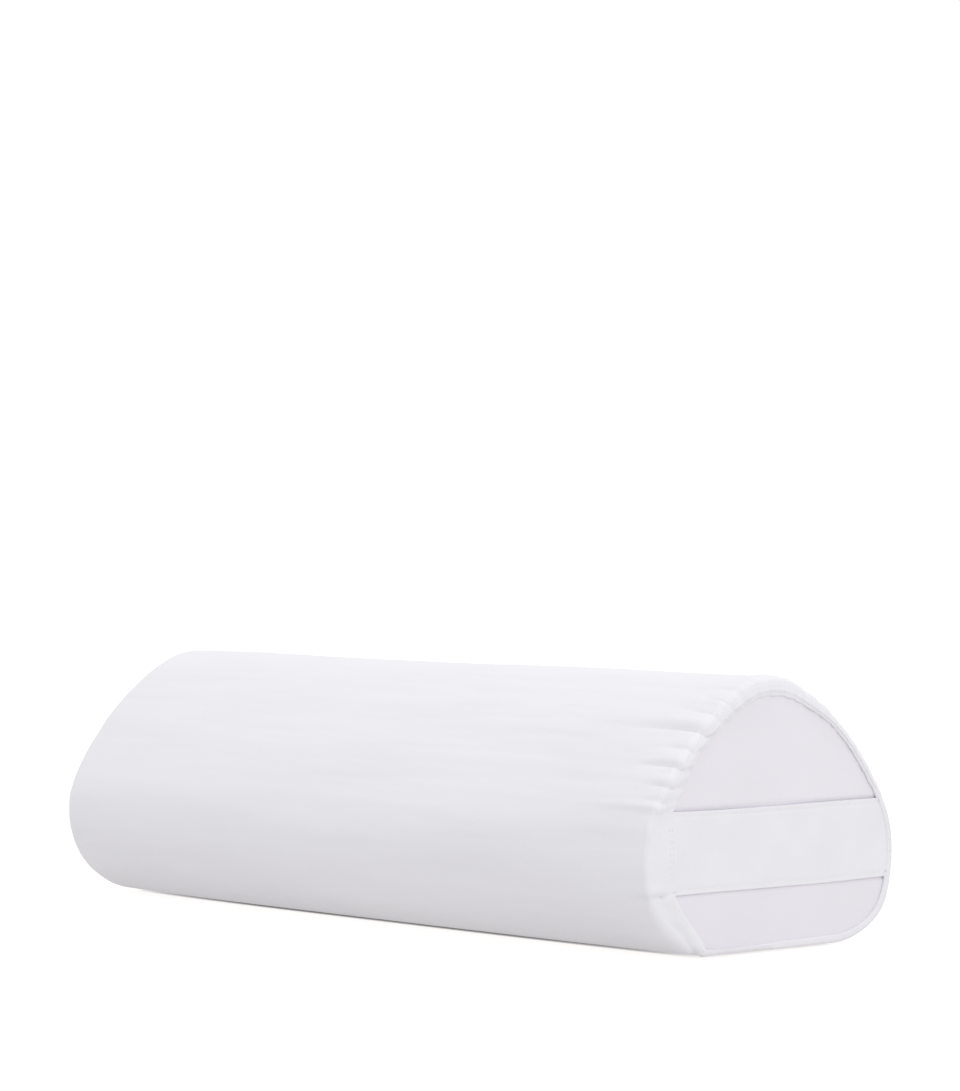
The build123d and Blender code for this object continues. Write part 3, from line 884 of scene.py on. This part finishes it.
class Shader:
    """A new material with a principled shader, and short ways to add texture nodes to it."""

    def __init__(self, name, color, roughness, specular=0.3):
        self.mat = bpy.data.materials.new(name)
        self.mat.use_nodes = True
        self.nodes, self.links = self.mat.node_tree.nodes, self.mat.node_tree.links
        self.shader = self.nodes["Principled BSDF"]
        self.shader.inputs["Base Color"].default_value = (*color, 1)
        self.shader.inputs["Roughness"].default_value = roughness
        self.shader.inputs["Specular IOR Level"].default_value = specular

    def texture(self, kind, place, **inputs):
        node = self.nodes.new(kind)
        for key, value in inputs.items():
            node.inputs[key].default_value = value
        self.links.new(place, node.inputs["Vector"])
        return node

    def object_place(self):
        return self.nodes.new("ShaderNodeTexCoord").outputs["Object"]

    def cloth_place(self):
        node = self.nodes.new("ShaderNodeUVMap")
        node.uv_map = "cloth"
        return node.outputs[0]

    def math(self, operation, a, b):
        node = self.nodes.new("ShaderNodeMath")
        node.operation = operation
        for value, slot in ((a, node.inputs[0]), (b, node.inputs[1])):
            if isinstance(value, (int, float)):
                slot.default_value = value
            else:
                self.links.new(value, slot)
        return node.outputs[0]

    def bump(self, height, strength, distance):
        node = self.nodes.new("ShaderNodeBump")
        node.inputs["Strength"].default_value = strength
        node.inputs["Distance"].default_value = distance
        self.links.new(height, node.inputs["Height"])
        self.links.new(node.outputs[0], self.shader.inputs["Normal"])

    def ramp(self, factor, low, high, start=0.3, end=0.7):
        node = self.nodes.new("ShaderNodeValToRGB")
        for element, place, color in zip(node.color_ramp.elements, (start, end), (low, high)):
            element.position = place
            element.color = (*color, 1)
        self.links.new(factor, node.inputs[0])
        self.links.new(node.outputs[0], self.shader.inputs["Base Color"])


def cotton():
    """Brushed cotton: a fine weave under a soft nap, hardly any colour."""
    m = Shader("brushed_cotton", COTTON_HIGH, 0.95, 0.12)
    m.shader.inputs["Sheen Weight"].default_value = 0.2
    m.shader.inputs["Sheen Roughness"].default_value = 0.5
    place = m.cloth_place()
    threads = []
    for axis in "XY":
        scale = WAVE_PITCH / (0.9 * MM)
        wave = m.texture("ShaderNodeTexWave", place, Scale=scale, Distortion=1.2)
        wave.bands_direction = axis
        threads.append(wave.outputs["Fac"])
    weave = m.math("MULTIPLY", *threads)
    nap = m.texture("ShaderNodeTexNoise", m.object_place(), Scale=900.0, Detail=4.0)
    m.bump(m.math("ADD", weave, nap.outputs["Fac"]), 0.35, 0.12 * MM)
    long = m.nodes.new("ShaderNodeMapping")
    long.inputs["Scale"].default_value = (0.2, 1.0, 1.0)
    m.links.new(m.object_place(), long.inputs["Vector"])
    patch = m.texture("ShaderNodeTexNoise", long.outputs[0], Scale=30.0, Detail=5.0)
    m.ramp(patch.outputs["Fac"], COTTON_LOW, COTTON_HIGH)
    return m.mat


def coated_cloth():
    """The casing's coated fabric: smooth, with a fine leather-like grain."""
    m = Shader("coated_cloth", CASING_COLOR, 0.55, 0.3)
    place = m.object_place()
    grain = m.texture("ShaderNodeTexVoronoi", place, Scale=900.0)
    m.bump(grain.outputs["Distance"], 0.15, 0.1 * MM)
    patch = m.texture("ShaderNodeTexNoise", place, Scale=15.0, Detail=3.0)
    dark = tuple(c * 0.975 for c in CASING_COLOR)
    m.ramp(patch.outputs["Fac"], dark, CASING_COLOR)
    return m.mat


def foam():
    m = Shader("foam", (0.86, 0.8, 0.62), 0.95, 0.1)
    cells = m.texture("ShaderNodeTexVoronoi", m.object_place(), Scale=1100.0)
    m.bump(cells.outputs["Distance"], 0.6, 0.4 * MM)
    # the hollows of the cells are painted darker and yellower: painted shade in the pores
    m.ramp(cells.outputs["Distance"], (0.66, 0.6, 0.43), (0.88, 0.82, 0.65), 0.05, 0.5)
    return m.mat


def ribbed(name, color, axis, pitch):
    """Narrow woven goods: ribs across a band, at that pitch, with painted shade in the grooves
    between them.
    """
    m = Shader(name, color, 0.8, 0.2)
    place, scale = m.object_place(), WAVE_PITCH / pitch
    wave = m.texture("ShaderNodeTexWave", place, Scale=scale, Distortion=0.4)
    wave.bands_direction = axis
    m.bump(wave.outputs["Fac"], 0.5, 0.2 * MM)
    # the grooves between the ribs are painted darker: painted shade
    dark = tuple(c * 0.9 for c in color)
    m.ramp(wave.outputs["Fac"], dark, color)
    return m.mat


def speckled(name, color, roughness, metal, scale, depth):
    """Moulded or cast goods: an even colour with a slight unevenness in gloss and surface, and
    painted shade in the surface's dents.
    """
    m = Shader(name, color, roughness, 0.5)
    m.shader.inputs["Metallic"].default_value = metal
    noise = m.texture("ShaderNodeTexNoise", m.object_place(), Scale=scale, Detail=3.0)
    m.bump(noise.outputs["Fac"], 0.2, depth)
    # darker where the bump dips: painted shade in the dents
    dark = tuple(c * 0.92 for c in color)
    m.ramp(noise.outputs["Fac"], dark, color)
    m.links.new(
        m.math("ADD", m.math("MULTIPLY", noise.outputs["Fac"], 0.2), roughness - 0.1),
        m.shader.inputs["Roughness"],
    )
    return m.mat


COTTON = cotton()
COATED = coated_cloth()
THREAD = ribbed("thread", (0.84, 0.84, 0.86), "X", 0.5 * MM)
FOAM = foam()
ELASTIC = ribbed("elastic", (0.9, 0.9, 0.9), "Y", 0.7 * MM)
TAPE = ribbed("zip_tape", (0.88, 0.88, 0.88), "X", 0.5 * MM)
NYLON = speckled("zip_nylon", (0.86, 0.86, 0.87), 0.4, 0.0, 300.0, 0.05 * MM)
METAL = speckled("zip_metal", (0.62, 0.62, 0.64), 0.35, 1.0, 500.0, 0.04 * MM)

CAD_MATERIALS = {
    "foam_core": FOAM,
    "casing_wrap": COATED,
    "casing_closed_end_panel": COATED,
    "zip_tape_left": TAPE,
    "zip_tape_right": TAPE,
    "zip_teeth_left": NYLON,
    "zip_teeth_right": NYLON,
    "zip_slider": METAL,
    "zip_end_stops": METAL,
}


def dress(obj, mat, slot_name, *nodes):
    """Gives a piece its material and its body, and hides the CAD nodes it stands for."""
    obj.data.materials.clear()
    obj.data.materials.append(mat)
    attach(obj, "pillow")
    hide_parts(*nodes)


# ---- Build ---------------------------------------------------------------------------------

GRID, TAUT_NORMALS, FROM_MOUTH = build_cover_grid()
NORMALS = grid_normals(GRID)

dress(cover_wrap(GRID, NORMALS, FROM_MOUTH), COTTON, "cover_cotton", "cover_wrap")

rings = panel_rings(GRID[0], -HALF_LENGTH, closed_face, True)
panel = disc("cover_closed_end_panel_cloth", rings, COVER_T)
dress(panel, COTTON, "cover_cotton", "cover_closed_end_panel")

arch_columns = np.flatnonzero(np.abs(T) <= STRAP_TOP_T + 1e-6)
below = STRAP_BOTTOM_T + BASE_STEP / 2
left_columns = np.flatnonzero((T <= -STRAP_TOP_T + 1e-6) & (T >= -below))
right_columns = np.flatnonzero((T >= STRAP_TOP_T - 1e-6) & (T <= below))
start = right_columns[-1]
lower_columns = np.concatenate([np.arange(start, len(T)), np.arange(0, left_columns[0] + 1)])

for name, columns, node in (
    ("gathered_hem_cloth", arch_columns, "gathered_hem"),
    ("side_hem_left_cloth", left_columns, "side_hem_left"),
    ("side_hem_right_cloth", right_columns, "side_hem_right"),
    ("lower_hem_cloth", lower_columns, "lower_hem"),
):
    dress(hem_piece(name, columns), COTTON, "cover_cotton", node)

dress(elastic_band(arch_columns[1:-1]), ELASTIC, "elastic", "hem_elastic")

rings = panel_rings(casing_rim(), CASING_X, casing_face, False)
panel = disc("casing_open_end_panel_cloth", rings, CASING_T)
dress(panel, COATED, "casing_vinyl", "casing_open_end_panel")

backing, _ = strap_ply("strap_backing_cloth", "strap_backing", False)
dress(backing, COTTON, "cover_cotton", "strap_backing")
face, strap_front = strap_ply("strap_face_cloth", "strap_face", True)
dress(face, COTTON, "cover_cotton", "strap_face")

strap_stitches = stitches("strap_stitching_thread", strap_rows(strap_front))
dress(strap_stitches, THREAD, "thread", "strap_stitching")

row = row_along(GATHERED_ROW * MM, arch_columns[4:-4])
dress(stitches("hem_stitching_thread", [row]), THREAD, "thread", "hem_stitching")

side_stitches = stitches("side_hem_stitching_thread", side_rows(left_columns, right_columns))
dress(side_stitches, THREAD, "thread", "side_hem_stitching")

dress(stitches("lower_hem_stitching_thread", lower_rows()), THREAD, "thread", "lower_hem_stitching")

for name, mat in CAD_MATERIALS.items():
    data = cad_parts[name].data
    data.materials.clear()
    data.materials.append(mat)


# ---- Stage ---------------------------------------------------------------------------------

FLOOR_COLOR = (0.34, 0.335, 0.33)
GLOW_SEEN = 0.8  # as the lens sees it, so that the floor stays white right up to the pillow
GLOW_THROWN = 0.5  # as the pillow sees it
SKY_SEEN = 1.05
SKY_THROWN = 0.95
PAINTED_SHADOW_REACH = 1.8 * MM  # how near the pillow must be for the glow to fade under it, in a painted contact shadow
PAINTED_SHADOW_GLOW_LEFT = 0.1  # of the glow, that is left where they touch: the painted contact shadow at its darkest
FLOOR_HALF = 8.0
FLOOR_Z = -0.3 * MM

# The viewing angle: a long lens, almost level, from the left of the open end
AZIMUTH, ELEVATION = radians(48.23), radians(0.494)
TARGET = Vector((0.0273, 0, 0.2773))
DISTANCE = 2.905
LENS = 128.8


def stage():
    """A pale floor, lit from above and clear from below, so that the base can be looked at."""
    corners = [(-1, -1), (1, -1), (1, 1), (-1, 1)]
    points = [(x * FLOOR_HALF, y * FLOOR_HALF, FLOOR_Z) for x, y in corners]
    floor = new_object("floor", points, [[0, 1, 2, 3]])
    m = Shader("floor_pale", FLOOR_COLOR, 0.9, 0.1)
    rays = m.nodes.new("ShaderNodeLightPath")
    seen = m.math("MULTIPLY", rays.outputs["Is Camera Ray"], GLOW_SEEN - GLOW_THROWN)
    m.shader.inputs["Emission Color"].default_value = (1, 0.985, 0.97, 1)
    # painted contact shadow: the floor's glow fades where the pillow is near
    near = m.nodes.new("ShaderNodeAmbientOcclusion")
    near.samples = 8
    near.inputs["Distance"].default_value = PAINTED_SHADOW_REACH
    open_share = m.math("MAXIMUM", near.outputs["AO"], PAINTED_SHADOW_GLOW_LEFT)
    glow = m.math("MULTIPLY", m.math("ADD", seen, GLOW_THROWN), open_share)
    m.links.new(glow, m.shader.inputs["Emission Strength"])
    side = m.nodes.new("ShaderNodeNewGeometry")
    clear = m.nodes.new("ShaderNodeBsdfTransparent")
    mix = m.nodes.new("ShaderNodeMixShader")
    m.links.new(side.outputs["Backfacing"], mix.inputs[0])
    m.links.new(m.shader.outputs[0], mix.inputs[1])
    m.links.new(clear.outputs[0], mix.inputs[2])
    m.links.new(mix.outputs[0], m.nodes["Material Output"].inputs["Surface"])
    floor.data.materials.append(m.mat)


def area_light(name, place, size, power, color=(1, 1, 1)):
    """A round lamp that faces the origin."""
    data = bpy.data.lights.new(name, "AREA")
    data.shape = "DISK"
    data.size = size
    data.energy = power
    data.color = color
    obj = bpy.data.objects.new(name, data)
    bpy.context.scene.collection.objects.link(obj)
    obj.location = place
    obj.rotation_euler = (-Vector(place)).to_track_quat("-Z", "Y").to_euler()


def camera():
    level = np.cos(ELEVATION)
    back = Vector((np.sin(AZIMUTH) * level, -np.cos(AZIMUTH) * level, np.sin(ELEVATION)))
    data = bpy.data.cameras.new("camera")
    data.sensor_width = 36
    data.lens = LENS
    data.clip_end = 50
    obj = bpy.data.objects.new("camera", data)
    bpy.context.scene.collection.objects.link(obj)
    obj.location = TARGET + back * DISTANCE
    obj.rotation_euler = back.to_track_quat("Z", "Y").to_euler()
    bpy.context.scene.camera = obj


def lights():
    """A white sky, brighter to the lens than to the pillow, and two big soft lamps."""
    world = bpy.data.worlds.new("world")
    world.use_nodes = True
    nodes, links = world.node_tree.nodes, world.node_tree.links
    rays = nodes.new("ShaderNodeLightPath")
    strength = nodes.new("ShaderNodeMapRange")
    strength.inputs["To Min"].default_value = SKY_THROWN
    strength.inputs["To Max"].default_value = SKY_SEEN
    links.new(rays.outputs["Is Camera Ray"], strength.inputs["Value"])
    sky = nodes["Background"]
    sky.inputs["Color"].default_value = (1, 1, 1, 1)
    links.new(strength.outputs[0], sky.inputs["Strength"])
    bpy.context.scene.world = world
    area_light("overhead", (0.2, -0.3, 2.6), size=3.0, power=15.5)
    area_light("end_fill", (3.0, 0.4, 0.9), size=2.4, power=13, color=(0.98, 0.98, 1.0))
    bpy.context.scene.view_settings.view_transform = "Standard"


stage()
lights()
camera()
